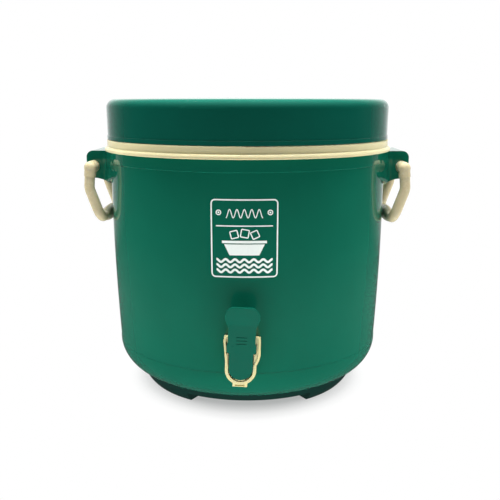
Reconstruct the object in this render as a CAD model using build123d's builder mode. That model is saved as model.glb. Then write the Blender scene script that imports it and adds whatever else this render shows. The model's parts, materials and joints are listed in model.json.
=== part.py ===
"""Round insulated drinks cooler with a lift-off lid, two swinging bails and a sprung pull tap.

Units are millimetres. +Z is up, the tap faces -Y, and the origin is the centre of the foot ring on
the surface that the cooler stands on. Names ending in _R are radii about the Z axis, unless a
comment says otherwise, and names ending in _Z are heights above that surface.
"""
import os

from build123d import *

os.makedirs("parts", exist_ok=True)

# ---- outer shell ------------------------------------------------------------------------------
SKIN = 2.5                          # moulded wall of shell, lid and base
SEAM_Z = 17.0                       # lower edge of the shell, on the base
BOWL_R, BOWL_Z, BOWL_ARC = 132.5, 44.4, 31.4    # rounded bottom: widest point and its own radius
LEDGE = 0.4                         # the rounded bottom stands this proud of the wall
WALL_MID_R, WALL_MID_Z = 135.55, 133.0
WALL_TOP_R, WALL_TOP_Z = 136.1, 221.8
COLLAR_R, COLLAR_Z, COLLAR_EDGE = 136.8, 233.0, 0.6    # plain band under the rim
SHELL_HOLE_R = 74.0                 # opening in the shell's underside

# ---- base with its feet -----------------------------------------------------------------------
BASE_R = 112.4                      # outside of the base under the shell
BASE_Z, BASE_Z_R = 9.0, 109.8       # underside between the feet
FOOT_R, FOOT_IN_R = 104.5, 90.0     # foot's sole
FOOT_GAP, FOOT_TURN = 64.0, 2.2     # degrees of open base at front and back, and the feet's turn
SCREW_CIRCLE_R, SCREW_COUNT = 82.0, 4
SCREW_SHANK, SCREW_HEAD, SCREW_HEAD_H, SCREW_LENGTH = 1.5, 3.6, 2.2, 9.5    # radii, then lengths
BOSS_R, SCREW_FIT = 4.5, 0.05

# ---- inner liner and its rim ------------------------------------------------------------------
LINER = 2.2                         # wall of the liner
CAVITY_R, CAVITY_TOP_R = 116.2, 117.4
FLOOR_Z, FLOOR_FILLET = 34.0, 9.0
RIM_Z = 243.8                       # top of the rim, under the lid
BAND_R, BEAD_R, BEAD_Z = 139.0, 141.6, 237.1
SKIRT_R, SKIRT_Z = 133.2, 226.0     # rim's skirt inside the shell
FOAM_GAP = 0.2

# ---- lid --------------------------------------------------------------------------------------
LID_R, LID_TOP_R = 138.2, 138.6
LID_Z = RIM_Z + 0.2
LID_TOP_Z, LID_CROWN, LID_EDGE = 281.6, 1.6, 8.0
LID_BAND_R, LID_BAND_H = 138.7, 4.0
PLUG_R, PLUG_Z, PLUG_WALL = 115.3, 227.0, 3.4
GASKET_R, GASKET_Z, GASKET_H, GASKET_GROOVE = 116.9, 236.0, 3.6, 1.2

# ---- ears and bails ---------------------------------------------------------------------------
EAR_X, EAR_Y, EAR_TOP, EAR_CORNER = 157.4, 27.0, 232.6, 6.4
EAR_LOW_OUT, EAR_LOW_IN, EAR_LOW_X = 206.0, 201.2, 134.6
EAR_ROOT_X, EAR_PAD_X, EAR_PAD_Y, EAR_PAD_Z = 118.0, 139.0, 64.0, 212.5
EAR_PAD_END_X = 119.6
PIVOT_X, PIVOT_Z = 150.7, 217.3
PEG_R, PEG_LENGTH, PEG_FIT = 4.0, 9.0, 0.06
BAIL_Y = 41.0                       # middle of each leg
BALL_R, TUBE_R = 5.9, 4.95          # the ball on a leg's end, and the leg itself
COLLET_R, COLLET_LENGTH = 5.5, 8.6  # the thick end of a leg, below its ball
KINK_X, KINK_Z, KINK_BEND = 152.5, 197.4, 16.0
GRIP_X, GRIP_Z, ELBOW_BEND = 142.2, 168.4, 10.0
GRIP_SECTIONS = {0: (5.5, 7.5), 13: (5.4, 7.0), 21: (5.2, 6.0), 27: (4.95, 4.95)}  # by distance
EAR_SIDE_GAP = 0.3

# ---- tap: names ending in _OUT are distances out from the cooler's axis, along -Y, and its
# heights are along its own middle line, which leans by TAP_TILT degrees about the spigot -------
TAP_X, TAP_TILT = -2.35, 2.5
STEM_Z = 58.0                       # axis of the spigot and the plunger
LEVER_Z, LEVER_OUT = 74.0, 146.3    # the lever's pivot
SPIGOT_R, SPIGOT_BORE, SPIGOT_END_OUT, HOLE_FIT = 9.0, 5.2, 103.0, 0.3
WEB_OUT, WEB_T, GUIDE_R, FLOW_R, FLOW_CIRCLE = 125.0, 3.0, 2.5, 1.1, 3.9
BACK_OUT, BACK_T, RIM_OUT = 134.7, 1.8, 149.5
SHOULDER_W, SHOULDER_TOP, SHOULDER_CORNER, SHOULDER_SLOPE = 16.0, 85.2, 4.2, 5.6
SHOULDER_RISE = 0.7                 # right shoulder's rise and left one's drop, which level them
HIP_W, HIP_Z, HIP_LOW, LEFT_HIP_LOW = 16.5, 69.0, 59.5, 62.0    # where the shoulders meet the cup
CUP_W, CUP_LOW, CUP_RIM = 13.4, 41.3, 2.6
CHEEK, RECESS_DEPTH = 1.9, 1.2      # rim round the shoulders, and the depth of the face inside it
POCKET_W, POCKET_LOW, POCKET_TOP = 12.95, 69.0, 78.4
SPOUT_W, SPOUT_LOW, SPOUT_OUT, SPOUT_WALL = 6.3, 39.2, 148.5, 1.7
PANEL_W, PANEL_H, PANEL_SILL, PANEL_DEPTH = 7.8, 1.9, 0.7, 1.1      # sunk panel on the spout
TRUNNION_R, TRUNNION_FIT, TRUNNION_END = 1.6, 0.06, 14.2
LEVER_T = 2.5
TONGUE_W, TONGUE_LOW = 10.4, 45.0
KNUCKLE_W, KNUCKLE_R = 12.7, 3.6
NECK_W, HEAD_W, HEAD_WIDE_Z, HEAD_FLAT = 11.8, 14.9, 103.4, 8.2
TONGUE_OUT = 148.6                  # front of the lever at its lower end
CREASE_Z, CREASE_OUT = 95.8, 154.2
HEAD_Z, HEAD_OUT = 112.9, 158.2
RIB_Z, RIB_STEP, RIB_COUNT, RIB_W, RIB_H, RIB_PROUD = 78.6, 3.0, 3, 9.0, 1.1, 0.45
STEM_R, STEM_HEAD_R, STEM_HEAD_OUT, STEM_HEAD_T = 2.4, 5.0, 98.2, 2.0
SEAL_R, SEAL_GAP = 7.4, 0.05
BUTTON_R, BUTTON_OUT, BUTTON_T, BUTTON_DOME, STEM_TIP_OUT = 4.9, 147.1, 3.6, 12.0, 145.5
WIRE_R, COIL_R, COIL_COUNT = 0.4, 3.7, 6
NUT_OUT, NUT_CORNER, NUT_T = 114.2, 13.8, 6.5
WASHER_R = 13.0


TAP_RIGHT = Vector(1, 0, 0).rotate(Axis.Y, TAP_TILT)
TAP_UP = Vector(0, 0, 1).rotate(Axis.Y, TAP_TILT)
TAP_FOOT = Vector(TAP_X, 0, STEM_Z) - TAP_UP * STEM_Z


def front_plane(out):
    """Plane across the tap, facing the front, whose own X and Y are the tap's width and height."""
    return Plane(origin=TAP_FOOT - Vector(0, out, 0), x_dir=TAP_RIGHT, z_dir=(0, -1, 0))


def side_plane(right):
    """Plane along the tap, facing right, whose own X is +Y and whose own Y is the height."""
    return Plane(origin=TAP_FOOT + TAP_RIGHT * right, x_dir=(0, 1, 0), z_dir=TAP_RIGHT)


def level_plane(height):
    """Plane across the tap's middle line at a height, whose own Y is +Y."""
    return Plane(origin=TAP_FOOT + TAP_UP * height, x_dir=TAP_RIGHT, z_dir=TAP_UP)


def write(part, name):
    """Label one piece and write its file."""
    part.label = name
    export_step(part, f"parts/{name}.step")


# ---- right ear: a block with a shallow pad that spreads onto the wall --------------------------
with BuildPart() as ear:
    with BuildSketch(Plane.XZ.offset(EAR_PAD_Y)):
        with BuildLine():
            FilletPolyline(
                (EAR_ROOT_X, EAR_TOP),
                (EAR_X, EAR_TOP),
                (EAR_X, EAR_LOW_OUT),
                (PIVOT_X - 1, EAR_LOW_OUT),
                radius=EAR_CORNER,
            )
            RadiusArc((PIVOT_X - 1, EAR_LOW_OUT), (EAR_LOW_X, EAR_LOW_IN), -40)
            Line((EAR_LOW_X, EAR_LOW_IN), (EAR_ROOT_X, EAR_LOW_IN))
            Line((EAR_ROOT_X, EAR_LOW_IN), (EAR_ROOT_X, EAR_TOP))
        make_face()
    extrude(amount=-2 * EAR_PAD_Y)
    with BuildSketch(Plane.XY.offset(EAR_LOW_IN)) as ear_plan:
        with BuildLine():
            Polyline(
                (EAR_ROOT_X, -EAR_PAD_Y),
                (EAR_PAD_END_X, -EAR_PAD_Y),
                (EAR_PAD_X, -EAR_Y),
                (EAR_X, -EAR_Y),
                (EAR_X, EAR_Y),
                (EAR_PAD_X, EAR_Y),
                (EAR_PAD_END_X, EAR_PAD_Y),
                (EAR_ROOT_X, EAR_PAD_Y),
                close=True,
            )
        make_face()
        fillet(ear_plan.vertices().sort_by_distance((EAR_PAD_X, EAR_Y))[0], 5)
        fillet(ear_plan.vertices().sort_by_distance((EAR_PAD_X, -EAR_Y))[0], 5)
    extrude(amount=EAR_TOP - EAR_LOW_IN, mode=Mode.INTERSECT)
    with BuildSketch(Plane.YZ.offset(EAR_ROOT_X)):
        with BuildLine():
            Polyline(
                (-EAR_PAD_Y, EAR_TOP),
                (-EAR_PAD_Y, EAR_PAD_Z),
                (-EAR_Y - 2, EAR_LOW_IN),
                (EAR_Y + 2, EAR_LOW_IN),
                (EAR_PAD_Y, EAR_PAD_Z),
                (EAR_PAD_Y, EAR_TOP),
                close=True,
            )
        make_face()
    extrude(amount=EAR_X - EAR_ROOT_X, mode=Mode.INTERSECT)


def shell_lines(inset):
    """Meridian of the shell, moved inwards by inset, from the axis at the bottom to the rim."""
    centre_r = BOWL_R - BOWL_ARC
    radius = BOWL_ARC - inset
    low = SEAM_Z + inset
    angle = acos_degrees((BOWL_Z - low) / radius)
    bowl = CenterArc((centre_r, BOWL_Z), radius, angle - 90, 90 - angle)
    Line((0, low), bowl @ 0)
    ledge = Line(bowl @ 1, (BOWL_R - LEDGE - inset, BOWL_Z + LEDGE))
    wall = ThreePointArc(
        ledge @ 1, (WALL_MID_R - inset, WALL_MID_Z), (WALL_TOP_R - inset, WALL_TOP_Z)
    )
    collar = Polyline(
        wall @ 1,
        (COLLAR_R - inset, WALL_TOP_Z + COLLAR_EDGE),
        (COLLAR_R - inset, COLLAR_Z),
        (0, COLLAR_Z),
        (0, low),
    )
    return collar


def acos_degrees(cosine):
    """Angle whose cosine is given."""
    return Vector(1, 0).get_angle(Vector(cosine, (1 - cosine**2) ** 0.5))


def shell_solid(inset):
    """Solid of revolution inside the shell's outer face moved inwards by inset."""
    with BuildPart() as solid:
        with BuildSketch(Plane.XZ):
            with BuildLine():
                shell_lines(inset)
            make_face()
        revolve(axis=Axis.Z)
    return solid.part


shell_outer = shell_solid(0)
shell_inner = shell_solid(SKIN)

# ---- outer shell ------------------------------------------------------------------------------
with BuildPart() as outer_shell:
    add(shell_outer)
    add(ear.part)
    add(mirror(ear.part, about=Plane.YZ))
    add(shell_inner, mode=Mode.SUBTRACT)
    with BuildSketch(Plane.XY.offset(SEAM_Z)):
        Circle(SHELL_HOLE_R)
    extrude(amount=SKIN, mode=Mode.SUBTRACT)
    with BuildSketch(Plane.XY.offset(BASE_Z + SKIN)):
        with PolarLocations(SCREW_CIRCLE_R, SCREW_COUNT, start_angle=45):
            Circle(BOSS_R)
    extrude(amount=SEAM_Z + SKIN - BASE_Z - SKIN)
    with BuildSketch(Plane.XY.offset(BASE_Z + SKIN)):
        with PolarLocations(SCREW_CIRCLE_R, SCREW_COUNT, start_angle=45):
            Circle(SCREW_SHANK + SCREW_FIT)
    extrude(amount=SEAM_Z - BASE_Z, mode=Mode.SUBTRACT)
    with BuildSketch(front_plane(SPIGOT_END_OUT)):
        with Locations((0, STEM_Z)):
            Circle(SPIGOT_R + HOLE_FIT)
    extrude(amount=40, mode=Mode.SUBTRACT)
    for outward in (-1, 1):
        with BuildSketch(Plane.XZ.offset(-outward * EAR_Y)):
            with Locations((PIVOT_X, PIVOT_Z), (-PIVOT_X, PIVOT_Z)):
                Circle(PEG_R + PEG_FIT)
        extrude(amount=outward * (PEG_LENGTH + 1), mode=Mode.SUBTRACT)
write(outer_shell.part, "outer_shell")

# ---- inner liner, whose rim shows as a band and a bead under the lid --------------------------
with BuildPart() as inner_liner:
    with BuildSketch(Plane.XZ):
        with BuildLine():
            FilletPolyline(
                (0, FLOOR_Z), (CAVITY_R, FLOOR_Z), (CAVITY_TOP_R, RIM_Z), radius=FLOOR_FILLET
            )
            Line((CAVITY_TOP_R, RIM_Z), (BAND_R - 1, RIM_Z))
            RadiusArc((BAND_R - 1, RIM_Z), (BAND_R, RIM_Z - 1), 1)
            Line((BAND_R, RIM_Z - 1), (BAND_R, BEAD_Z))
            ThreePointArc((BAND_R, BEAD_Z), (BEAD_R - 0.7, BEAD_Z - 1), (BEAD_R, BEAD_Z - 2.4))
            Polyline(
                (BEAD_R, BEAD_Z - 2.4),
                (BEAD_R, COLLAR_Z + 0.6),
                (BEAD_R - 0.5, COLLAR_Z + 0.1),
                (SKIRT_R, COLLAR_Z + 0.1),
                (SKIRT_R, SKIRT_Z),
                (SKIRT_R - LINER, SKIRT_Z),
                (SKIRT_R - LINER, RIM_Z - SKIN),
                (CAVITY_TOP_R + LINER, RIM_Z - SKIN),
            )
            FilletPolyline(
                (CAVITY_TOP_R + LINER, RIM_Z - SKIN),
                (CAVITY_R + LINER, FLOOR_Z - LINER),
                (0, FLOOR_Z - LINER),
                radius=FLOOR_FILLET + LINER,
            )
            Line((0, FLOOR_Z - LINER), (0, FLOOR_Z))
        make_face()
    revolve(axis=Axis.Z)
    with BuildSketch(front_plane(SPIGOT_END_OUT)):
        with Locations((0, STEM_Z)):
            Circle(SPIGOT_R + HOLE_FIT)
    extrude(amount=40, mode=Mode.SUBTRACT)
write(inner_liner.part, "inner_liner")

# ---- foam that fills the space between shell and liner ----------------------------------------
with BuildPart() as foam_jacket:
    add(shell_solid(SKIN + FOAM_GAP))
    with BuildSketch(Plane.XZ):
        with BuildLine():
            Polyline(
                (0, FLOOR_Z - LINER - FOAM_GAP),
                (CAVITY_R + LINER + FOAM_GAP, FLOOR_Z - LINER - FOAM_GAP),
                (CAVITY_TOP_R + LINER + FOAM_GAP, COLLAR_Z),
                (0, COLLAR_Z),
                close=True,
            )
        make_face()
    revolve(axis=Axis.Z, mode=Mode.SUBTRACT)
    with BuildSketch(Plane.XY.offset(SKIRT_Z - FOAM_GAP)):
        Circle(COLLAR_R)
        Circle(SKIRT_R - LINER - FOAM_GAP, mode=Mode.SUBTRACT)
    extrude(amount=COLLAR_Z - SKIRT_Z + 1, mode=Mode.SUBTRACT)
    with BuildSketch(front_plane(SPIGOT_END_OUT)):
        with Locations((0, STEM_Z)):
            Circle(SPIGOT_R + 2 * HOLE_FIT)
    extrude(amount=40, mode=Mode.SUBTRACT)
write(foam_jacket.part, "foam_jacket")

# ---- base: a shallow dish with two long curved feet -------------------------------------------
with BuildPart() as base:
    with BuildSketch(Plane.XZ):
        with BuildLine():
            Polyline(
                (0, BASE_Z),
                (BASE_Z_R, BASE_Z),
                (BASE_R, SEAM_Z),
                (BASE_R - SKIN, SEAM_Z),
                (BASE_Z_R - SKIN, BASE_Z + SKIN),
                (0, BASE_Z + SKIN),
                close=True,
            )
        make_face()
    revolve(axis=Axis.Z)
    with BuildSketch(Plane.XZ):
        with BuildLine():
            foot_side = RadiusArc((BASE_Z_R, BASE_Z), (FOOT_R, 0.8), 24)
            Polyline(
                foot_side @ 1,
                (FOOT_R - 0.8, 0),
                (FOOT_IN_R, 0),
                (FOOT_IN_R - 1.5, BASE_Z),
                (BASE_Z_R, BASE_Z),
            )
        make_face()
    feet = revolve(axis=Axis.Z)
    with BuildSketch(Plane.XY):
        with BuildLine():
            left_side = PolarLine((0, 0), BASE_R * 1.5, FOOT_TURN - 90 - FOOT_GAP / 2)
            right_side = PolarLine((0, 0), BASE_R * 1.5, FOOT_TURN - 90 + FOOT_GAP / 2)
            Line(left_side @ 1, right_side @ 1)
        gap = make_face()
        add(gap.rotate(Axis.Z, 180))
    extrude(amount=BASE_Z, mode=Mode.SUBTRACT)
    with BuildSketch(Plane.XY.offset(BASE_Z)):
        with PolarLocations(SCREW_CIRCLE_R, SCREW_COUNT, start_angle=45):
            Circle(SCREW_SHANK + 0.2)
    extrude(amount=SKIN, mode=Mode.SUBTRACT)
write(base.part, "base")

# ---- screws that hold the base to the shell ---------------------------------------------------
with BuildPart() as base_screws:
    with BuildSketch(Plane.XY.offset(BASE_Z)) as screw_heads:
        with PolarLocations(SCREW_CIRCLE_R, SCREW_COUNT, start_angle=45):
            Circle(SCREW_HEAD)
    extrude(amount=-SCREW_HEAD_H)
    chamfer(base_screws.faces().sort_by(Axis.Z)[:SCREW_COUNT].edges(), 0.6)
    with BuildSketch(Plane.XY.offset(BASE_Z)):
        with PolarLocations(SCREW_CIRCLE_R, SCREW_COUNT, start_angle=45):
            Circle(SCREW_SHANK)
    extrude(amount=SCREW_LENGTH)
    with BuildSketch(Plane.XY.offset(BASE_Z - SCREW_HEAD_H)):
        with PolarLocations(SCREW_CIRCLE_R, SCREW_COUNT, start_angle=45):
            Rectangle(SCREW_HEAD * 1.1, 0.7)
            Rectangle(0.7, SCREW_HEAD * 1.1)
    extrude(amount=1.2, mode=Mode.SUBTRACT)
write(base_screws.part, "base_screws")


def lid_lines(inset, low):
    """Meridian of the lid's outer skin moved inwards by inset, closed along the height low."""
    side = Line((LID_R - inset, low), (LID_TOP_R - inset, LID_TOP_Z - LID_EDGE))
    corner = JernArc(side @ 1, side % 1, LID_EDGE - inset, 90)
    edge_r = (corner @ 1).X
    crown_arc = (edge_r**2 + LID_CROWN**2) / (2 * LID_CROWN)
    crown = RadiusArc(corner @ 1, (0, (corner @ 1).Y + LID_CROWN), -crown_arc)
    return Polyline(crown @ 1, (0, low), side @ 0)


# ---- lid's outer skin -------------------------------------------------------------------------
with BuildPart() as lid_shell:
    with BuildSketch(Plane.XZ):
        with BuildLine():
            lid_lines(0, LID_Z)
        make_face()
    revolve(axis=Axis.Z)
    with BuildSketch(Plane.XZ):
        with BuildLine():
            Polyline(
                (LID_R - 1, LID_Z),
                (LID_BAND_R - 0.3, LID_Z),
                (LID_BAND_R, LID_Z + 0.3),
                (LID_BAND_R, LID_Z + LID_BAND_H - 0.4),
                (LID_R, LID_Z + LID_BAND_H),
                (LID_R - 1, LID_Z + LID_BAND_H),
                close=True,
            )
        make_face()
    revolve(axis=Axis.Z)
    with BuildSketch(Plane.XZ):
        with BuildLine():
            lid_lines(SKIN, LID_Z)
        make_face()
    revolve(axis=Axis.Z, mode=Mode.SUBTRACT)
write(lid_shell.part, "lid_shell")

# ---- lid's lining: a plate inside the skin, with the plug that enters the cavity --------------
with BuildPart() as lid_liner:
    with BuildSketch(Plane.XZ):
        with BuildLine():
            Polyline(
                (0, PLUG_Z),
                (PLUG_R - 2, PLUG_Z),
                (PLUG_R, PLUG_Z + 2),
                (PLUG_R, GASKET_Z),
                (PLUG_R - GASKET_GROOVE, GASKET_Z),
                (PLUG_R - GASKET_GROOVE, GASKET_Z + GASKET_H),
                (PLUG_R, GASKET_Z + GASKET_H),
                (PLUG_R, LID_Z),
                (LID_R - SKIN - 0.2, LID_Z),
                (LID_R - SKIN - 0.2, LID_Z + LINER),
                (PLUG_R - PLUG_WALL, LID_Z + LINER),
                (PLUG_R - PLUG_WALL, PLUG_Z + LINER),
                (0, PLUG_Z + LINER),
                close=True,
            )
        make_face()
    revolve(axis=Axis.Z)
write(lid_liner.part, "lid_liner")

# ---- foam inside the lid ----------------------------------------------------------------------
with BuildPart() as lid_foam:
    with BuildSketch(Plane.XZ):
        with BuildLine():
            lid_lines(SKIN + FOAM_GAP, LID_Z + LINER + FOAM_GAP)
        make_face()
    revolve(axis=Axis.Z)
    with BuildSketch(Plane.XY.offset(PLUG_Z + LINER + FOAM_GAP)):
        Circle(PLUG_R - PLUG_WALL - FOAM_GAP)
    extrude(amount=LID_Z - PLUG_Z)
write(lid_foam.part, "lid_foam")

# ---- soft ring that seals the plug in the cavity ----------------------------------------------
with BuildPart() as lid_gasket:
    with BuildSketch(Plane.XZ):
        with BuildLine():
            Polyline(
                (PLUG_R - GASKET_GROOVE, GASKET_Z + 0.05),
                (PLUG_R, GASKET_Z + 0.05),
                (GASKET_R, GASKET_Z + 1.2),
                (GASKET_R, GASKET_Z + 1.8),
                (PLUG_R, GASKET_Z + GASKET_H - 0.05),
                (PLUG_R - GASKET_GROOVE, GASKET_Z + GASKET_H - 0.05),
                close=True,
            )
        make_face()
    revolve(axis=Axis.Z)
write(lid_gasket.part, "lid_gasket")

# ---- right bail: two legs, a grip across their lower ends, and a peg in each side of the ear --
with BuildPart() as bail_right:
    with BuildLine() as bail_path:
        FilletPolyline(
            (PIVOT_X, -BAIL_Y, PIVOT_Z),
            (KINK_X, -BAIL_Y, KINK_Z),
            (GRIP_X, -BAIL_Y, GRIP_Z),
            (GRIP_X, BAIL_Y, GRIP_Z),
            (KINK_X, BAIL_Y, KINK_Z),
            (PIVOT_X, BAIL_Y, PIVOT_Z),
            radius=[KINK_BEND, ELBOW_BEND, ELBOW_BEND, KINK_BEND],
        )
    with BuildSketch(Plane(origin=bail_path.line @ 0, z_dir=bail_path.line % 0)):
        Circle(TUBE_R)
    sweep()
    for side in (-1, 1):
        for distance, (half_x, half_z) in GRIP_SECTIONS.items():
            with BuildSketch(Plane.XZ.offset(side * distance)):
                with Locations((GRIP_X, GRIP_Z)):
                    Ellipse(half_x, half_z)
        loft()
    for side in (-1, 1):
        with Locations((PIVOT_X, side * BAIL_Y, PIVOT_Z)):
            Sphere(BALL_R)
        with BuildSketch(
            Plane(origin=(PIVOT_X, side * BAIL_Y, PIVOT_Z), z_dir=bail_path.line % 0)
        ):
            Circle(COLLET_R)
        extrude(amount=COLLET_LENGTH)
        with BuildSketch(Plane.XZ.offset(-side * (EAR_Y + EAR_SIDE_GAP))):
            with Locations((PIVOT_X, PIVOT_Z)):
                Circle(BALL_R)
        extrude(amount=-side * (BAIL_Y - EAR_Y - EAR_SIDE_GAP))
        with BuildSketch(Plane.XZ.offset(-side * (EAR_Y - PEG_LENGTH))):
            with Locations((PIVOT_X, PIVOT_Z)):
                Circle(PEG_R)
        extrude(amount=-side * (PEG_LENGTH + 1))
write(bail_right.part, "bail_right")

bail_left = mirror(bail_right.part, about=Plane.YZ)
write(bail_left, "bail_left")


# ---- tap body: spigot through the wall, and a cup whose rim frames the lever -------------------
def cup_lines(inset):
    """Lower outline of the tap's cup, from one side to the other round the bottom."""
    centre_z = CUP_LOW + CUP_W
    return CenterArc((0, centre_z), CUP_W - inset, 180, 180)


def tap_outline():
    """Front outline of the tap: a round-bottomed cup below two shoulders."""
    bottom = cup_lines(0)
    hip = ThreePointArc((CUP_W, HIP_LOW), (HIP_W - 0.8, HIP_Z - 4.2), (HIP_W, HIP_Z))
    Line(bottom @ 1, hip @ 0)
    shoulders = FilletPolyline(
        hip @ 1,
        (SHOULDER_W, SHOULDER_TOP + SHOULDER_RISE),
        (-SHOULDER_W, SHOULDER_TOP - SHOULDER_RISE),
        (-CUP_W, LEFT_HIP_LOW),
        radius=SHOULDER_CORNER,
    )
    return Line(shoulders @ 1, bottom @ 0)


with BuildPart() as tap_body:
    with BuildSketch(front_plane(BACK_OUT)):
        with BuildLine():
            tap_outline()
        make_face()
    extrude(amount=RIM_OUT - BACK_OUT)
    with BuildSketch(side_plane(-HIP_W)):
        with BuildLine():
            Polyline(
                (-RIM_OUT, SHOULDER_TOP + SHOULDER_RISE),
                (-BACK_OUT, SHOULDER_TOP + SHOULDER_RISE - SHOULDER_SLOPE),
                (-BACK_OUT, SHOULDER_TOP + 2 * SHOULDER_RISE),
                (-RIM_OUT, SHOULDER_TOP + 2 * SHOULDER_RISE),
                close=True,
            )
        make_face()
    extrude(amount=2 * HIP_W, mode=Mode.SUBTRACT)
    with BuildSketch(front_plane(RIM_OUT - RECESS_DEPTH)):
        with BuildLine():
            tap_outline()
        make_face()
        offset(amount=-CHEEK, mode=Mode.REPLACE)
        with Locations((0, HIP_LOW)):
            Rectangle(2 * HIP_W, SHOULDER_TOP, align=(Align.CENTER, Align.MIN), mode=Mode.INTERSECT)
    extrude(amount=RECESS_DEPTH, mode=Mode.SUBTRACT)
    with BuildSketch(front_plane(BACK_OUT + BACK_T)):
        with BuildLine():
            cup = cup_lines(CUP_RIM)
            Polyline(
                cup @ 1,
                (CUP_W - CUP_RIM, POCKET_LOW),
                (POCKET_W, POCKET_LOW),
                (POCKET_W, POCKET_TOP),
                (-POCKET_W, POCKET_TOP),
                (-POCKET_W, POCKET_LOW),
                (-CUP_W + CUP_RIM, POCKET_LOW),
                cup @ 0,
            )
        make_face()
    extrude(amount=RIM_OUT - BACK_OUT, mode=Mode.SUBTRACT)
    with BuildSketch(front_plane(SPIGOT_END_OUT)):
        with Locations((0, STEM_Z)):
            Circle(SPIGOT_R)
    extrude(amount=BACK_OUT + 0.5 - SPIGOT_END_OUT)
    with BuildSketch(front_plane(BACK_OUT + BACK_T)):
        with Locations((0, (SPOUT_LOW + CUP_LOW + CUP_RIM) / 2)):
            Rectangle(2 * SPOUT_W, CUP_LOW + CUP_RIM - SPOUT_LOW)
    extrude(amount=SPOUT_OUT - BACK_OUT - BACK_T)
    with BuildSketch(front_plane(SPIGOT_END_OUT)):
        with Locations((0, STEM_Z)):
            Circle(SPIGOT_BORE)
    extrude(amount=WEB_OUT - SPIGOT_END_OUT, mode=Mode.SUBTRACT)
    with BuildSketch(front_plane(WEB_OUT + WEB_T)):
        with Locations((0, STEM_Z)):
            Circle(SPIGOT_BORE)
    extrude(amount=BACK_OUT + BACK_T - WEB_OUT - WEB_T, mode=Mode.SUBTRACT)
    with BuildSketch(front_plane(WEB_OUT)):
        with Locations((0, STEM_Z)):
            Circle(GUIDE_R)
            with PolarLocations(FLOW_CIRCLE, 6):
                Circle(FLOW_R)
    extrude(amount=WEB_T, mode=Mode.SUBTRACT)
    with BuildSketch(level_plane(SPOUT_LOW)):
        with Locations((0, -(BACK_OUT + BACK_T + SPOUT_OUT) / 2)):
            Rectangle(2 * (SPOUT_W - SPOUT_WALL), SPOUT_OUT - BACK_OUT - BACK_T - 2 * SPOUT_WALL)
    extrude(amount=CUP_LOW + CUP_RIM + 1 - SPOUT_LOW, mode=Mode.SUBTRACT)
    with BuildSketch(front_plane(SPOUT_OUT - PANEL_DEPTH)):
        with Locations((0, SPOUT_LOW + PANEL_SILL)):
            Rectangle(PANEL_W, PANEL_H, align=(Align.CENTER, Align.MIN))
    extrude(amount=PANEL_DEPTH, mode=Mode.SUBTRACT)
    with BuildSketch(side_plane(-HIP_W)):
        with Locations((-LEVER_OUT, LEVER_Z)):
            Circle(TRUNNION_R + TRUNNION_FIT)
    extrude(amount=2 * HIP_W, mode=Mode.SUBTRACT)
write(tap_body.part, "tap_body")

# ---- lever: thumb piece, neck with grip ribs, knuckle with trunnions, and tongue ---------------
with BuildPart() as tap_lever:
    with BuildSketch(front_plane(BACK_OUT)):
        with BuildLine():
            tongue = CenterArc((0, TONGUE_LOW + TONGUE_W), TONGUE_W, 270, 90)
            right_side = FilletPolyline(
                tongue @ 1,
                (TONGUE_W, LEVER_Z - 3.0),
                (KNUCKLE_W, LEVER_Z - 1.7),
                (KNUCKLE_W, LEVER_Z + 1.2),
                (NECK_W, LEVER_Z + 5.2),
                (NECK_W, CREASE_Z - 4),
                radius=1.0,
            )
            flare = Spline(right_side @ 1, (HEAD_W, HEAD_WIDE_Z), tangents=[(0, 1), (0, 1)])
            corner = Spline(flare @ 1, (HEAD_FLAT, HEAD_Z), tangents=[(0, 1), (-1, 0)])
            Line(corner @ 1, (0, HEAD_Z))
            mirror(about=Plane.YZ)
        make_face()
    extrude(amount=HEAD_OUT + 5 - BACK_OUT)
    with BuildSketch(side_plane(-HEAD_W - 1)):
        with BuildLine():
            front_line = Polyline(
                (-TONGUE_OUT, TONGUE_LOW - 1),
                (-CREASE_OUT, CREASE_Z),
                (-HEAD_OUT, HEAD_Z),
            )
            Polyline(
                front_line @ 1,
                (-HEAD_OUT + LEVER_T, HEAD_Z),
                (-CREASE_OUT + LEVER_T, CREASE_Z),
                (-TONGUE_OUT + LEVER_T, TONGUE_LOW - 1),
                front_line @ 0,
            )
        make_face()
    extrude(amount=2 * HEAD_W + 2, mode=Mode.INTERSECT)
    with BuildSketch(side_plane(-KNUCKLE_W)):
        with Locations((-LEVER_OUT, LEVER_Z)):
            Circle(KNUCKLE_R)
    extrude(amount=2 * KNUCKLE_W)
    with BuildSketch(side_plane(-TRUNNION_END)):
        with Locations((-LEVER_OUT, LEVER_Z)):
            Circle(TRUNNION_R)
    extrude(amount=2 * TRUNNION_END)
    slope = (CREASE_OUT - TONGUE_OUT) / (CREASE_Z - TONGUE_LOW + 1)
    for index in range(RIB_COUNT):
        rib_z = RIB_Z + index * RIB_STEP
        rib_out = TONGUE_OUT + slope * (rib_z - TONGUE_LOW + 1) + RIB_PROUD
        with BuildSketch(front_plane(rib_out)):
            with Locations((0, rib_z)):
                SlotOverall(RIB_W, RIB_H)
        extrude(amount=-RIB_PROUD - 0.5)
write(tap_lever.part, "tap_lever")

# ---- plunger: rod with a head inside the cavity -----------------------------------------------
with BuildPart() as valve_stem:
    with BuildSketch(front_plane(STEM_HEAD_OUT)):
        with Locations((0, STEM_Z)):
            Circle(STEM_HEAD_R)
    extrude(amount=STEM_HEAD_T)
    with BuildSketch(front_plane(STEM_HEAD_OUT)):
        with Locations((0, STEM_Z)):
            Circle(STEM_R)
    extrude(amount=STEM_TIP_OUT - STEM_HEAD_OUT)
write(valve_stem.part, "valve_stem")

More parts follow.
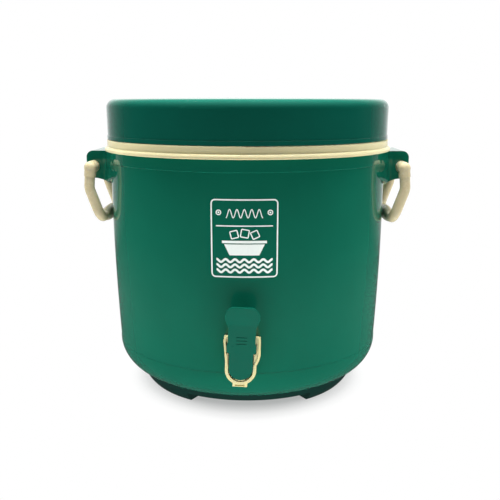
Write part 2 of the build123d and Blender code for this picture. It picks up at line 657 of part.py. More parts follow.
with BuildPart() as valve_seal:
    with BuildSketch(front_plane(STEM_HEAD_OUT + STEM_HEAD_T)):
        with Locations((0, STEM_Z)):
            Circle(SEAL_R)
            Circle(STEM_R, mode=Mode.SUBTRACT)
    extrude(amount=SPIGOT_END_OUT - SEAL_GAP - STEM_HEAD_OUT - STEM_HEAD_T)
write(valve_seal.part, "valve_seal")

# ---- domed button on the plunger's outer end ---------------------------------------------------
with BuildPart() as stem_button:
    with BuildSketch(front_plane(BUTTON_OUT - BUTTON_T)):
        with Locations((0, STEM_Z)):
            Circle(BUTTON_R)
    extrude(amount=BUTTON_T)
    with Locations((TAP_X, -BUTTON_OUT + BUTTON_DOME, STEM_Z)):
        Sphere(BUTTON_DOME, mode=Mode.INTERSECT)
    with BuildSketch(front_plane(BUTTON_OUT - BUTTON_T)):
        with Locations((0, STEM_Z)):
            Circle(STEM_R)
    extrude(amount=STEM_TIP_OUT - BUTTON_OUT + BUTTON_T, mode=Mode.SUBTRACT)
write(stem_button.part, "stem_button")

# ---- spring between the spigot's web and the button -------------------------------------------
SPRING_START_OUT = WEB_OUT + WEB_T + WIRE_R + 0.05
SPRING_LENGTH = BUTTON_OUT - BUTTON_T - WIRE_R - 0.05 - SPRING_START_OUT
with BuildPart() as valve_spring:
    with BuildLine() as coil:
        Helix(
            pitch=SPRING_LENGTH / COIL_COUNT,
            height=SPRING_LENGTH,
            radius=COIL_R,
            center=(TAP_X, -SPRING_START_OUT, STEM_Z),
            direction=(0, -1, 0),
        )
    with BuildSketch(Plane(origin=coil.line @ 0, z_dir=coil.line % 0)):
        Circle(WIRE_R)
    sweep(is_frenet=True)
write(valve_spring.part, "valve_spring")

# ---- nut and washers that clamp the tap in the wall --------------------------------------------
with BuildPart() as tap_nut:
    with BuildSketch(front_plane(NUT_OUT - NUT_T)):
        with Locations((0, STEM_Z)):
            RegularPolygon(NUT_CORNER, 6)
            Circle(SPIGOT_R + 0.05, mode=Mode.SUBTRACT)
    extrude(amount=NUT_T)
write(tap_nut.part, "tap_nut")

with BuildPart() as inner_washer:
    with BuildSketch(front_plane(NUT_OUT)):
        with Locations((0, STEM_Z)):
            Circle(WASHER_R)
            Circle(SPIGOT_R + 0.05, mode=Mode.SUBTRACT)
    extrude(amount=10)
    with BuildSketch(Plane.XY.offset(FLOOR_Z)):
        Circle(CAVITY_R)
    extrude(amount=2 * STEM_Z, mode=Mode.INTERSECT)
write(inner_washer.part, "inner_washer")

with BuildPart() as outer_washer:
    with BuildSketch(front_plane(BACK_OUT)):
        with Locations((0, STEM_Z)):
            Circle(WASHER_R)
            Circle(SPIGOT_R + 0.05, mode=Mode.SUBTRACT)
    extrude(amount=-8)
    add(shell_outer, mode=Mode.SUBTRACT)
write(outer_washer.part, "outer_washer")
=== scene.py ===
"""Looks of the round drinks cooler: its plastics, its front print, a finer lever and the studio.

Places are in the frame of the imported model: +Z is up, the tap faces -Y, and one unit is a metre.
The shapes of the print and of the lever are drawn in millimetres and turned into metres last.
"""
import json
import math

import bmesh
import bpy
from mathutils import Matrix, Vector
from mathutils.bvhtree import BVHTree


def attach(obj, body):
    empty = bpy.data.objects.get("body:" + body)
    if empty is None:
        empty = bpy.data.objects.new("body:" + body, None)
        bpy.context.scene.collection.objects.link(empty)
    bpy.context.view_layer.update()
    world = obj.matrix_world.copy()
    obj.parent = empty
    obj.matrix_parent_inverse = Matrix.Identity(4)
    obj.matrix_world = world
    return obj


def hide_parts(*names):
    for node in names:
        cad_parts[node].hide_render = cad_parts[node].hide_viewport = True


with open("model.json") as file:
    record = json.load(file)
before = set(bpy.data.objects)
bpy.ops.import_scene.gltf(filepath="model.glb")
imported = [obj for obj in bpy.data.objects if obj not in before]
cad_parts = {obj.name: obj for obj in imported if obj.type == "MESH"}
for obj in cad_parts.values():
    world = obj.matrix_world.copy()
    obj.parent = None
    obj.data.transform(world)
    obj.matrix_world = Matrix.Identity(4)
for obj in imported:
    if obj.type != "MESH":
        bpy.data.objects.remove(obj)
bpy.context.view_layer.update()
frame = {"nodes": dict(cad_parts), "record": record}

nodes = frame["nodes"]
MM = 0.001

# ---- camera and studio ------------------------------------------------------------------------
CAMERA_RANGE, CAMERA_HEIGHT = 0.708, 0.2797
CAMERA_PITCH, CAMERA_YAW = math.radians(12.1), math.radians(1.35)
CAMERA_LENS, CAMERA_SENSOR, CAMERA_SHIFT = 49.93, 36, 0.005
# The ramps below are pairs of a share and a grey. In those named BEHIND the share follows the Y of
# a direction, from the camera's side to straight behind the cooler. In those named ABOVE it follows
# the Z, from level to straight up. For the floor it is the distance from the middle over a span.
MIRRORED_BEHIND = [(0.0, 0.014), (0.55, 0.016), (0.7, 0.06), (0.8, 0.24), (0.9, 0.5), (1.0, 1.1)]
MIRRORED_ABOVE = [(0.0, 0.0), (0.35, 0.03), (0.8, 0.25), (1.0, 0.45)]
AMBIENT_BEHIND = [(0.0, 0.0), (0.5, 0.0), (0.65, 0.8), (0.8, 3.6), (1.0, 4.4)]
AMBIENT_ABOVE = [(0.0, 0.04), (1.0, 0.55)]
FLOOR_HALF, FLOOR_DROP, FLOOR_GREY = 6.0, 0.2 * MM, 0.9
FLOOR_SPAN, FLOOR_GAIN = 2.5, 4.0
FLOOR_BOUNCE = [(0.05, 0.40), (0.12, 1.16), (0.17, 0.72), (0.25, 0.12), (1.0, 0.003)]
FLOOR_MIRRORED = [(0.08, 0.026), (0.14, 0.038), (0.32, 0.016), (1.0, 0.006)]
BACKDROP_FROM, BACKDROP_FULL = 0.4, 1.2    # where the floor starts and ends turning into backdrop
GLOW_SPAN = 0.25
FLOOR_GLOW = [(0.39, 0.42), (0.44, 0.62), (0.48, 0.82), (0.53, 0.94), (0.62, 1.0)]
LIGHTS = (    # name, place, what it points at, width and depth, watts
    ("top_light", (0, -0.1, 1.5), (0, -0.1, 0), (2.2, 0.3), 38),
    ("lid_light", (0, -0.02, 0.5), (0, -0.02, 0), (0.30, 0.30), 5.2),
    ("left_fill", (-1.1, 0.5, 0.3), (0, 0, 0.15), (0.8, 0.6), 11.5),
    ("right_fill", (1.1, 0.5, 0.3), (0, 0, 0.15), (0.8, 0.6), 11.5),
)
WHITE, BLACK = (1, 1, 1, 1), (0, 0, 0, 1)


class Graph:
    """Short way of writing a node tree. add() makes a node; the others return what comes out."""

    def __init__(self, tree):
        self.tree = tree
        tree.nodes.clear()

    def add(self, kind, inputs=None, **settings):
        node = self.tree.nodes.new(kind)
        for name, value in settings.items():
            setattr(node, name, value)
        for name, value in (inputs or {}).items():
            if isinstance(value, bpy.types.NodeSocket):
                self.tree.links.new(value, node.inputs[name])
            else:
                node.inputs[name].default_value = value
        return node

    def ramp(self, share, stops):
        """Grey that follows a share through its stops."""
        node = self.add("ShaderNodeValToRGB", {"Fac": share})
        elements = node.color_ramp.elements
        while len(elements) < len(stops):
            elements.new(0.5)
        for element, (place, grey) in zip(elements, stops):
            element.position = place
            element.color = (grey, grey, grey, 1)
        return node.outputs["Color"]

    def remap(self, value, start, end, low=0.0, high=1.0):
        """Value carried over from the range start to end to the range low to high."""
        node = self.add("ShaderNodeMapRange", {0: value, 1: start, 2: end, 3: low, 4: high})
        return node.outputs[0]

    def mix(self, share, first, second, blend="MIX"):
        """Two colours blended."""
        inputs = {0: share, 6: first, 7: second}
        return self.add("ShaderNodeMix", inputs, data_type="RGBA", blend_type=blend).outputs[2]

    def scaled(self, colour, gain):
        """Colour times a number."""
        return self.add("ShaderNodeVectorMath", {0: colour, 3: gain}, operation="SCALE").outputs[0]

    def noise(self, place, scale, detail, roughness=0.5):
        """Soft noise between 0 and 1."""
        inputs = {"Vector": place, "Scale": scale, "Detail": detail, "Roughness": roughness}
        return self.add("ShaderNodeTexNoise", inputs).outputs["Fac"]


def new_material(name):
    """Material and its empty graph."""
    material = bpy.data.materials.new(name)
    material.use_nodes = True
    return material, Graph(material.node_tree)


def make_camera():
    """The camera stands in front of the cooler, a little above its lid."""
    data = bpy.data.cameras.new("camera")
    data.sensor_width = CAMERA_SENSOR
    data.lens = CAMERA_LENS
    data.shift_x = CAMERA_SHIFT
    data.clip_start = 0.02
    camera = bpy.data.objects.new("camera", data)
    camera.location = (
        CAMERA_RANGE * math.sin(CAMERA_YAW),
        -CAMERA_RANGE * math.cos(CAMERA_YAW),
        CAMERA_HEIGHT,
    )
    camera.rotation_euler = (math.pi / 2 - CAMERA_PITCH, 0, CAMERA_YAW)
    bpy.context.scene.collection.objects.link(camera)
    bpy.context.scene.camera = camera


def make_world():
    """White backdrop. In reflections it is bright behind and above, dim on the camera's side."""
    world = bpy.data.worlds.new("studio")
    world.use_nodes = True
    bpy.context.scene.world = world
    world.cycles.sampling_method = "NONE"
    g = Graph(world.node_tree)
    direction = g.add("ShaderNodeTexCoord").outputs["Generated"]
    axes = g.add("ShaderNodeSeparateXYZ", {"Vector": direction}).outputs
    behind = g.remap(axes["Y"], -1.0, 1.0)
    above = g.remap(axes["Z"], 0.0, 1.0)
    mirrored = g.mix(1.0, g.ramp(behind, MIRRORED_BEHIND), g.ramp(above, MIRRORED_ABOVE), "LIGHTEN")
    ambient = g.mix(1.0, g.ramp(above, AMBIENT_ABOVE), g.ramp(behind, AMBIENT_BEHIND), "LIGHTEN")
    ray = g.add("ShaderNodeLightPath").outputs
    unseen = g.mix(ray["Is Glossy Ray"], ambient, mirrored)
    colour = g.mix(ray["Is Camera Ray"], unseen, WHITE)
    backdrop = g.add("ShaderNodeBackground", {"Color": colour, "Strength": 1.0})
    g.add("ShaderNodeOutputWorld", {"Surface": backdrop.outputs[0]})


def dress_floor(mesh):
    """White that carries a shadow near the cooler, throws light up and reflects dimly in gloss."""
    material, g = new_material("studio_floor")
    material.cycles.emission_sampling = "NONE"
    mesh.materials.append(material)
    place = g.add("ShaderNodeNewGeometry").outputs["Position"]
    reach = g.add("ShaderNodeVectorMath", {0: place}, operation="LENGTH").outputs["Value"]
    share = g.add("ShaderNodeMath", {0: reach, 1: FLOOR_SPAN}, operation="DIVIDE").outputs[0]
    ahead = g.add("ShaderNodeVectorMath", {0: place}, operation="NORMALIZE").outputs["Vector"]
    behind = g.remap(g.add("ShaderNodeSeparateXYZ", {"Vector": ahead}).outputs["Y"], -1.0, 1.0)
    far = g.remap(reach, BACKDROP_FROM, BACKDROP_FULL)
    backdrop = g.mix(far, BLACK, g.ramp(behind, MIRRORED_BEHIND))
    near = g.scaled(g.ramp(share, FLOOR_MIRRORED), FLOOR_GAIN)
    mirrored = g.mix(1.0, near, backdrop, "LIGHTEN")
    bounce = g.scaled(g.ramp(share, FLOOR_BOUNCE), FLOOR_GAIN)
    ray = g.add("ShaderNodeLightPath").outputs
    radiance = g.mix(ray["Is Glossy Ray"], bounce, mirrored)
    thrown = g.add("ShaderNodeEmission", {"Color": radiance, "Strength": 1.0}).outputs[0]
    grey = (FLOOR_GREY, FLOOR_GREY, FLOOR_GREY, 1)
    lit = g.add("ShaderNodeBsdfDiffuse", {"Color": grey}).outputs[0]
    glow = g.add("ShaderNodeEmission", {"Strength": 1.0}).outputs[0]
    nearby = g.add("ShaderNodeMath", {0: reach, 1: GLOW_SPAN}, operation="DIVIDE").outputs[0]
    glowing = g.ramp(nearby, FLOOR_GLOW)
    seen = g.add("ShaderNodeMixShader", {0: glowing, 1: lit, 2: glow}).outputs[0]
    surface = g.add("ShaderNodeMixShader", {0: ray["Is Camera Ray"], 1: thrown, 2: seen})
    g.add("ShaderNodeOutputMaterial", {"Surface": surface.outputs[0]})


def make_floor():
    """Flat square under the cooler."""
    mesh = bpy.data.meshes.new("studio_floor")
    turns = ((-1, -1), (1, -1), (1, 1), (-1, 1))
    mesh.from_pydata([(x * FLOOR_HALF, y * FLOOR_HALF, 0) for x, y in turns], [], [(0, 1, 2, 3)])
    dress_floor(mesh)
    floor = bpy.data.objects.new("studio_floor", mesh)
    floor.location.z = -FLOOR_DROP
    bpy.context.scene.collection.objects.link(floor)


def area_light(name, place, aim, size, power):
    """Soft light that does not show in reflections."""
    data = bpy.data.lights.new(name, "AREA")
    data.shape = "RECTANGLE"
    data.size, data.size_y = size
    data.energy = power
    light = bpy.data.objects.new(name, data)
    light.visible_glossy = False
    light.location = place
    light.rotation_euler = (Vector(aim) - Vector(place)).to_track_quat("-Z", "Y").to_euler()
    bpy.context.scene.collection.objects.link(light)


def make_studio():
    """Camera, backdrop, floor and lights."""
    make_camera()
    make_world()
    make_floor()
    for light in LIGHTS:
        area_light(*light)
    bpy.context.scene.view_settings.view_transform = "Standard"


# ---- materials --------------------------------------------------------------------------------
CLOUDS, SMEARS, SPECKS, WAVES, SKIN = 22.0, 60.0, 900.0, 16.0, 650.0    # how fine, per metre
SCRATCHES, BEADS = 1800.0, 300.0
SPECK_SHARE = 0.35
WAVE_DEPTH, SKIN_DEPTH, SCRATCH_DEPTH, BEAD_DEPTH = 0.12 * MM, 0.04 * MM, 0.02 * MM, 0.8 * MM
STEEL_GREY = (0.62, 0.62, 0.60, 1)
GLOW_DEPTHS = (4.0 * MM, 2.5 * MM, 1.2 * MM)    # how far red, green and blue light go into cream
# moulded_plastic says what the values mean.
PLASTICS = {
    "green_shell": dict(colour=(0.0026, 0.092, 0.056), rough=0.06, soften=0.12 * MM),
    # green_lid is the shell's green made darker: painted shade for the lid's side, which is the
    # same plastic as the shell.
    "green_lid": dict(colour=(0.002, 0.066, 0.045), rough=0.08, peel=0.1, soften=0.4 * MM),
    "green_lever": dict(colour=(0.002, 0.084, 0.053), rough=0.20, specular=0.15),
    # green_base is a darker green than the shell, darkened further as painted shade for the shadow
    # under the bowl's overhang.
    "green_base": dict(
        colour=(0.001, 0.032, 0.024), rough=0.45, peel=0.5, specular=0.15, soften=0.5 * MM
    ),
    "cream_tap": dict(colour=(0.57, 0.52, 0.26), rough=0.26, soften=0.4 * MM, glow=0.15),
    "cream_plastic": dict(colour=(0.47, 0.41, 0.26), rough=0.26, soften=0.5 * MM, glow=0.15),
    "liner_plastic": dict(colour=(0.56, 0.51, 0.30), rough=0.22, soften=0.4 * MM, glow=0.12),
    "seal_rubber": dict(colour=(0.70, 0.69, 0.64), rough=0.55, peel=0.6),
    "white_plastic": dict(colour=(0.80, 0.80, 0.77), rough=0.3),
    "ink": dict(colour=(0.74, 0.80, 0.77), rough=0.42, tint=0.06, peel=0.5),
}


def moulded_plastic(
    name, colour, rough, tint=0.05, peel=0.25, specular=0.5, soften=0.0, glow=0.0
):
    """Plastic with faint clouds and specks of colour, uneven gloss, orange peel and slow waviness.

    tint is how strong the clouds are, peel how strong the orange peel is, specular how strong the
    reflections are, soften the radius that rounds the look of sharp edges, and glow the share of
    light that goes under the skin.
    """
    material, g = new_material(name)
    place = g.add("ShaderNodeTexCoord").outputs["Object"]
    clouds = g.noise(place, CLOUDS, 4.0, 0.6)
    specks = g.noise(place, SPECKS, 2.0)
    inputs = {0: specks, 1: SPECK_SHARE, 2: clouds}
    clouded = g.add("ShaderNodeMath", inputs, operation="MULTIPLY_ADD").outputs[0]
    shaded = g.scaled(colour, g.remap(clouded, 0.45, 0.9, 1 - tint, 1 + tint))
    smears = g.noise(place, SMEARS, 5.0, 0.7)
    roughness = g.remap(smears, 0.35, 0.7, rough * 0.85, rough * 1.25)
    waves = g.add(
        "ShaderNodeBump",
        {"Height": g.noise(place, WAVES, 1.0), "Strength": 1.0, "Distance": WAVE_DEPTH},
    )
    bumps = g.add(
        "ShaderNodeBump",
        {
            "Height": g.noise(place, SKIN, 2.0),
            "Strength": peel,
            "Distance": SKIN_DEPTH,
            "Normal": waves.outputs[0],
        },
    )
    if soften:
        corners = g.add("ShaderNodeBevel", {"Radius": soften}, samples=4)
        g.tree.links.new(corners.outputs[0], waves.inputs["Normal"])
    surface = g.add(
        "ShaderNodeBsdfPrincipled",
        {
            "Base Color": shaded,
            "Roughness": roughness,
            "Normal": bumps.outputs[0],
            "IOR": 1.5,
            "Specular IOR Level": specular,
            "Subsurface Weight": glow,
            "Subsurface Radius": GLOW_DEPTHS,
            "Subsurface Scale": 1.0,
        },
    )
    g.add("ShaderNodeOutputMaterial", {"Surface": surface.outputs[0]})
    return material


def brushed_steel(name):
    """Steel with fine scratches in its gloss."""
    material, g = new_material(name)
    place = g.add("ShaderNodeTexCoord").outputs["Object"]
    scratches = g.noise(place, SCRATCHES, 3.0)
    bumps = g.add(
        "ShaderNodeBump", {"Height": scratches, "Strength": 0.3, "Distance": SCRATCH_DEPTH}
    )
    surface = g.add(
        "ShaderNodeBsdfPrincipled",
        {
            "Base Color": STEEL_GREY,
            "Metallic": 1.0,
            "Roughness": g.remap(scratches, 0.3, 0.7, 0.22, 0.42),
            "Normal": bumps.outputs[0],
        },
    )
    g.add("ShaderNodeOutputMaterial", {"Surface": surface.outputs[0]})
    return material


def cell_foam(name):
    """Closed-cell foam: small beads pressed together."""
    material, g = new_material(name)
    place = g.add("ShaderNodeTexCoord").outputs["Object"]
    beads = g.add("ShaderNodeTexVoronoi", {"Vector": place, "Scale": BEADS}).outputs["Distance"]
    bumps = g.add(
        "ShaderNodeBump",
        {"Height": beads, "Strength": 0.6, "Distance": BEAD_DEPTH},
        invert=True,
    )
    surface = g.add(
        "ShaderNodeBsdfPrincipled",
        {
            # The grey drops towards each bead's edge, down in the grooves between beads: painted
            # shade in the grooves.
            "Base Color": g.ramp(beads, [(0.0, 0.86), (0.8, 0.62)]),
            "Roughness": 0.8,
            "Normal": bumps.outputs[0],
        },
    )
    g.add("ShaderNodeOutputMaterial", {"Surface": surface.outputs[0]})
    return material


materials = {name: moulded_plastic(name, **look) for name, look in PLASTICS.items()}
materials["foam"] = cell_foam("foam")
materials["steel"] = brushed_steel("steel")


def dress_cad_nodes():
    """Every CAD node gets the material of its slot in the record."""
    for entry in frame["record"]["subparts"]:
        target = nodes[entry["node"]]
        target.data.materials.clear()
        target.data.materials.append(materials[entry["material_slot"]])


# ---- print on the front -----------------------------------------------------------------------
PRINT_TURN = math.radians(0.25)     # its middle, round the wall from -Y towards +X
PRINT_Z = 166.5 * MM
WALL_R = 136.0                      # for turning a width along the wall into an angle
OUTSIDE = 0.3                       # a radius that is clear of the wall
INK_GAP, INK_T = 0.04 * MM, 0.10 * MM
# The rest is in millimetres from the print's middle.
FRAME_W, FRAME_H, FRAME_CORNER, FRAME_LINE = 28.0, 33.1, 3.2, 1.15    # W and H are half sizes
RIPPLE_W, RIPPLE_Y, RIPPLE_SWING, RIPPLE_LINE = 15.5, 21.5, 3.6, 0.8
MARK_X, MARK_Y, MARK_R, MARK_HOLE, MARK_DOT = 21.8, 22.4, 2.4, 1.5, 0.8
RULE_W, RULE_Y, RULE_LINE = 24.0, 11.0, 1.0
CUBES = ((-8.6, 3.7, 3.1, 14), (0.4, 4.6, 3.3, -10), (9.0, 3.6, 3.0, 24))    # x, y, half size, turn
CUBE_LINE = 0.95
BUCKET_RIM_W, BUCKET_RIM = 19.0, (-1.6, -3.8)
BUCKET_TOP_W, BUCKET_FOOT_W, BUCKET_SIDE = 17.2, 12.6, (-4.7, -14.2)
WAVES_W, WAVES_Y, WAVES_SWING, WAVES_LINE = 24.0, (-18.9, -23.4, -27.9), 1.25, 1.9


class Print:
    """Flat shapes in millimetres about the print's middle, laid onto the wall as a thin film."""

    def __init__(self):
        self.points = []
        self.faces = []

    def strip(self, left, right, closed=False):
        """Quads between two lines of the same number of points."""
        first = len(self.points)
        count = len(left)
        self.points += left + right
        for i in range(count if closed else count - 1):
            j = (i + 1) % count
            self.faces.append((first + i, first + count + i, first + count + j, first + j))

    def stroke(self, path, width, closed=False):
        """A line of even width along a path."""
        count = len(path)
        left, right = [], []
        for i, (x, y) in enumerate(path):
            before = path[i - 1] if i or closed else path[i]
            after = path[(i + 1) % count] if i < count - 1 or closed else path[i]
            along = Vector((after[0] - before[0], after[1] - before[1])).normalized()
            across = Vector((-along.y, along.x)) * width / 2
            left.append((x + across.x, y + across.y))
            right.append((x - across.x, y - across.y))
        self.strip(left, right, closed)

    def disc(self, x, y, radius, inner=0.0, count=24):
        """A disc, or a ring round a hole."""
        turns = [2 * math.pi * i / count for i in range(count)]
        rim = [(x + radius * math.cos(a), y + radius * math.sin(a)) for a in turns]
        hub = [(x + inner * math.cos(a), y + inner * math.sin(a)) for a in turns]
        self.strip(hub, rim, closed=True)

    def mesh(self, name, wall):
        """The shapes laid on the wall's surface."""
        built = bmesh.new()
        for x, y in self.points:
            turn = PRINT_TURN + x / WALL_R
            outwards = Vector((math.sin(turn), -math.cos(turn), 0))
            start = outwards * OUTSIDE + Vector((0, 0, PRINT_Z + y * MM))
            spot = wall.ray_cast(start, -outwards)[0]
            built.verts.new(spot + outwards * INK_GAP)
        built.verts.ensure_lookup_table()
        for face in self.faces:
            built.faces.new([built.verts[i] for i in face])
        bmesh.ops.remove_doubles(built, verts=built.verts, dist=0.01 * MM)
        bmesh.ops.recalc_face_normals(built, faces=built.faces)
        for face in built.faces:
            middle = face.calc_center_median()
            if face.normal.dot(Vector((middle.x, middle.y, 0))) < 0:
                face.normal_flip()
        result = bpy.data.meshes.new(name)
        built.to_mesh(result)
        built.free()
        return result


def spaced(start, end, count):
    """Even steps from start to end."""
    return [start + (end - start) * i / (count - 1) for i in range(count)]


def wave(half_width, height, swing, periods, count):
    """A wave about a level line, with this many periods over its whole width."""
    return [
        (x, height + swing * math.cos(periods * math.pi * x / half_width))
        for x in spaced(-half_width, half_width, count)
    ]


def rounded_frame(half_w, half_h, corner, arc_steps=8, side_steps=20):
    """Rectangle with round corners, anticlockwise from the top of its right side."""
    path = []
    for quarter, (sx, sy) in enumerate(((1, 1), (-1, 1), (-1, -1), (1, -1))):
        for step in range(arc_steps + 1):
            angle = math.pi / 2 * (quarter + step / arc_steps)
            x = sx * (half_w - corner) + corner * math.cos(angle)
            y = sy * (half_h - corner) + corner * math.sin(angle)
            path.append((x, y))
        x, y = path[-1]
        along_x, along_y = ((-1, 0), (0, -1), (1, 0), (0, 1))[quarter]
        length = 2 * ((half_w if along_x else half_h) - corner)
        for step in range(1, side_steps):
            share = step / side_steps
            path.append((x + along_x * length * share, y + along_y * length * share))
    return path


def square_outline(x, y, half, turn):
    """Turned square, with points close to its corners in place of them."""
    corners = []
    for i in range(4):
        angle = math.radians(turn + 45 + 90 * i)
        radius = half * math.sqrt(2)
        corners.append((x + radius * math.cos(angle), y + radius * math.sin(angle)))
    path = []
    for i in range(4):
        (x0, y0), (x1, y1) = corners[i], corners[(i + 1) % 4]
        for share in (0.06, 0.3, 0.5, 0.7, 0.94):
            path.append((x0 + (x1 - x0) * share, y0 + (y1 - y0) * share))
    return path


def make_print():
    """A plain frame with waves, an ice bucket and cubes in it: no lettering."""
    lines = Print()
    lines.stroke(rounded_frame(FRAME_W, FRAME_H, FRAME_CORNER), FRAME_LINE, closed=True)
    lines.stroke([(x, RULE_Y) for x in spaced(-RULE_W, RULE_W, 33)], RULE_LINE)
    lines.stroke(wave(RIPPLE_W, RIPPLE_Y, RIPPLE_SWING, 5, 97), RIPPLE_LINE)
    for x in (-MARK_X, MARK_X):
        lines.disc(x, MARK_Y, MARK_R, inner=MARK_HOLE)
        lines.disc(x, MARK_Y, MARK_DOT)
    for height in WAVES_Y:
        lines.stroke(wave(WAVES_W, height, WAVES_SWING, 6, 193), WAVES_LINE)
    for cube in CUBES:
        lines.stroke(square_outline(*cube), CUBE_LINE, closed=True)
    bucket = Print()
    for (top, foot), top_w, foot_w in (
        (BUCKET_RIM, BUCKET_RIM_W, BUCKET_RIM_W),
        (BUCKET_SIDE, BUCKET_TOP_W, BUCKET_FOOT_W),
    ):
        spots = spaced(-1, 1, 31)
        bucket.strip([(top_w * s, top) for s in spots], [(foot_w * s, foot) for s in spots])
    shell = nodes["outer_shell"].data
    corners = [v.co for v in shell.vertices]
    wall = BVHTree.FromPolygons(corners, [p.vertices for p in shell.polygons])
    for name, shapes in (("front_print_lines", lines), ("front_print_bucket", bucket)):
        mesh = shapes.mesh(name, wall)
        mesh.materials.append(materials["ink"])
        piece = bpy.data.objects.new(name, mesh)
        bpy.context.scene.collection.objects.link(piece)
        film = piece.modifiers.new("film", "SOLIDIFY")
        film.thickness = INK_T
        film.offset = 1.0
        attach(piece, "cooler")


# ---- lever, with the rounded edges that the CAD lever lacks -------------------------------------
# In millimetres. Z is a height along the tap's own middle line, W a half width, and OUT a distance
# from the cooler's axis.
PIVOT_OUT, PIVOT_Z = 146.3, 74.0
TONGUE_OUT, TONGUE_W, TONGUE_LOW = 148.6, 10.4, 45.0
KNUCKLE_W, KNUCKLE_R, TRUNNION_R, TRUNNION_END = 12.7, 3.55, 1.6, 14.2
KNUCKLE_BELOW, KNUCKLE_ABOVE = (-4.6, -2.4), (0.8, 6.0)    # where its sides turn, from the pivot
NECK_W, NECK_TOP = 11.8, 91.8
HEAD_W, HEAD_WIDE_Z, HEAD_FLAT, HEAD_Z, HEAD_OUT = 14.9, 103.4, 8.2, 112.9, 158.2
CREASE_Z, CREASE_OUT = 95.8, 154.2
LEVER_T, LEVER_EDGE = 2.5, 0.8
RIBS_Z, RIB_SIZE, RIB_PROUD = (78.6, 81.6, 84.6), (9.0, 1.1), 0.42
PIP_X, PIP_Z, PIP_PROUD = 7.3, 76.6, 0.25
PIP_SIZE = (1.3, 1.2999)    # a hair wider than tall, so that no two points of its outline meet
MARK_SUNK, MARK_EDGE = 0.4, 0.22


def lever_front(height):
    """How far out the lever's front is at a height."""
    if height > CREASE_Z:
        share = (height - CREASE_Z) / (HEAD_Z - CREASE_Z)
        return CREASE_OUT + share * (HEAD_OUT - CREASE_OUT)
    share = (height - TONGUE_LOW + 1) / (CREASE_Z - TONGUE_LOW + 1)
    return TONGUE_OUT + share * (CREASE_OUT - TONGUE_OUT)


def eased(start, leave, end, arrive, count):
    """Cubic from start to end, without its first point, leaving and arriving along two vectors."""
    path = []
    for i in range(1, count + 1):
        t = i / count
        a, b = 2 * t**3 - 3 * t**2 + 1, t**3 - 2 * t**2 + t
        c, d = -2 * t**3 + 3 * t**2, t**3 - t**2
        path.append(
            tuple(a * start[k] + b * leave[k] + c * end[k] + d * arrive[k] for k in (0, 1))
        )
    return path


def lever_side():
    """Right half of the lever's outline, from the bottom of the tongue to the top of the head."""
    middle = TONGUE_LOW + TONGUE_W
    path = []
    for i in range(25):
        angle = math.pi / 48 * i
        path.append((TONGUE_W * math.sin(angle), middle - TONGUE_W * math.cos(angle)))
    for (start, end), start_w, end_w in (
        (KNUCKLE_BELOW, TONGUE_W, KNUCKLE_W),
        (KNUCKLE_ABOVE, KNUCKLE_W, NECK_W),
    ):
        path.append((start_w, PIVOT_Z + start))
        rise = (0, 1.3 * (end - start))
        path += eased(path[-1], rise, (end_w, PIVOT_Z + end), rise, 8)
    path.append((NECK_W, NECK_TOP))
    path += eased(path[-1], (0, 12), (HEAD_W, HEAD_WIDE_Z), (0, 11), 16)
    path += eased(path[-1], (0, 10), (HEAD_FLAT, HEAD_Z), (-11, 0), 16)
    path.append((0, HEAD_Z))
    return path


def add_slab(built, place, outline, front, back):
    """Closed slab between two surfaces, each a function of height, that folds at the crease."""
    fronts = [built.verts.new(place(x, front(z), z)) for x, z in outline]
    backs = [built.verts.new(place(x, back(z), z)) for x, z in outline]
    folds = [i for i, (_, z) in enumerate(outline) if abs(z - CREASE_Z) < 1e-6]
    count = len(outline)
    if len(folds) == 2:
        first, second = folds
        loops = [range(first, second + 1), [*range(second, count), *range(first + 1)]]
    else:
        loops = [range(count)]
    for loop in loops:
        built.faces.new([fronts[i] for i in loop])
        built.faces.new([backs[i] for i in reversed(list(loop))])
    for i in range(count):
        j = (i + 1) % count
        built.faces.new([fronts[j], fronts[i], backs[i], backs[j]])


def add_bar(built, place, half, radius, sides=40):
    """Round bar across the tap on the lever's pivot."""
    rings = []
    for x in (-half, half):
        turns = [2 * math.pi * i / sides for i in range(sides)]
        rings.append(
            [
                built.verts.new(
                    place(x, PIVOT_OUT + radius * math.cos(a), PIVOT_Z + radius * math.sin(a))
                )
                for a in turns
            ]
        )
    built.faces.new(rings[0])
    built.faces.new(list(reversed(rings[1])))
    for i in range(sides):
        j = (i + 1) % sides
        built.faces.new([rings[0][i], rings[1][i], rings[1][j], rings[0][j]])


def slot_outline(x, height, width, tall, count=10):
    """Outline of a bar with round ends."""
    path = []
    for side, start in ((1, -math.pi / 2), (-1, math.pi / 2)):
        centre = x + side * (width - tall) / 2
        for i in range(count + 1):
            angle = start + math.pi * i / count
            path.append((centre + tall / 2 * math.cos(angle), height + tall / 2 * math.sin(angle)))
    return path


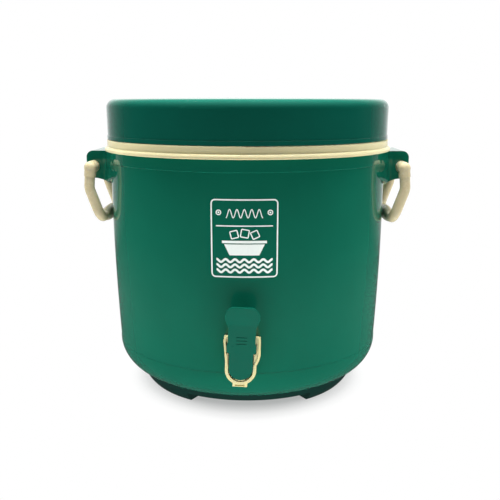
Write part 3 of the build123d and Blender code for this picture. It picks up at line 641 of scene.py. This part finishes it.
def soft_piece(name, built, edge):
    """Object from a bmesh, with small rounded edges and even shading."""
    bmesh.ops.recalc_face_normals(built, faces=built.faces)
    mesh = bpy.data.meshes.new(name)
    built.to_mesh(mesh)
    built.free()
    mesh.polygons.foreach_set("use_smooth", [True] * len(mesh.polygons))
    piece = bpy.data.objects.new(name, mesh)
    bpy.context.scene.collection.objects.link(piece)
    bevel = piece.modifiers.new("edges", "BEVEL")
    bevel.width = edge * MM
    bevel.segments = 3
    bevel.limit_method = "ANGLE"
    bevel.angle_limit = math.radians(35)
    even = piece.modifiers.new("shading", "WEIGHTED_NORMAL")
    even.keep_sharp = True
    return piece


def make_lever():
    """Thumb lever: a bent plate on a round knuckle, with three grip ribs and two small pips."""
    joint = next(j for j in frame["record"]["behaviour"]["joints"] if j["name"] == "lever_pull")
    pivot, right = Vector(joint["pos_m"]), Vector(joint["axis"]).normalized()
    up = right.cross(Vector((0, 1, 0)))
    outwards = Vector((0, -1, 0))

    def place(x, out, height):
        """Point at a distance right of the tap's middle line, a distance out and a height."""
        return pivot + (right * x + outwards * (out - PIVOT_OUT) + up * (height - PIVOT_Z)) * MM

    side = []
    path = lever_side()
    for before, after in zip(path, path[1:]):
        side.append(before)
        if before[1] < CREASE_Z < after[1]:
            share = (CREASE_Z - before[1]) / (after[1] - before[1])
            side.append((before[0] + share * (after[0] - before[0]), CREASE_Z))
    side.append(path[-1])
    outline = side + [(-x, z) for x, z in reversed(side[1:-1])]
    built = bmesh.new()
    add_slab(built, place, outline, lever_front, lambda z: lever_front(z) - LEVER_T)
    add_bar(built, place, KNUCKLE_W, KNUCKLE_R)
    add_bar(built, place, TRUNNION_END, TRUNNION_R)
    plate = soft_piece("lever_plate", built, LEVER_EDGE)
    marks = [(0, height, RIB_SIZE, RIB_PROUD) for height in RIBS_Z]
    marks += [(x, PIP_Z, PIP_SIZE, PIP_PROUD) for x in (-PIP_X, PIP_X)]
    built = bmesh.new()
    for x, height, size, proud in marks:
        add_slab(
            built,
            place,
            slot_outline(x, height, *size),
            lambda z: lever_front(z) + proud,
            lambda z: lever_front(z) - MARK_SUNK,
        )
    ribs = soft_piece("lever_ribs", built, MARK_EDGE)
    for piece in (plate, ribs):
        piece.data.materials.append(materials["green_lever"])
        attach(piece, "lever")
    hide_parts("tap_lever")


dress_cad_nodes()
make_print()
make_lever()
make_studio()
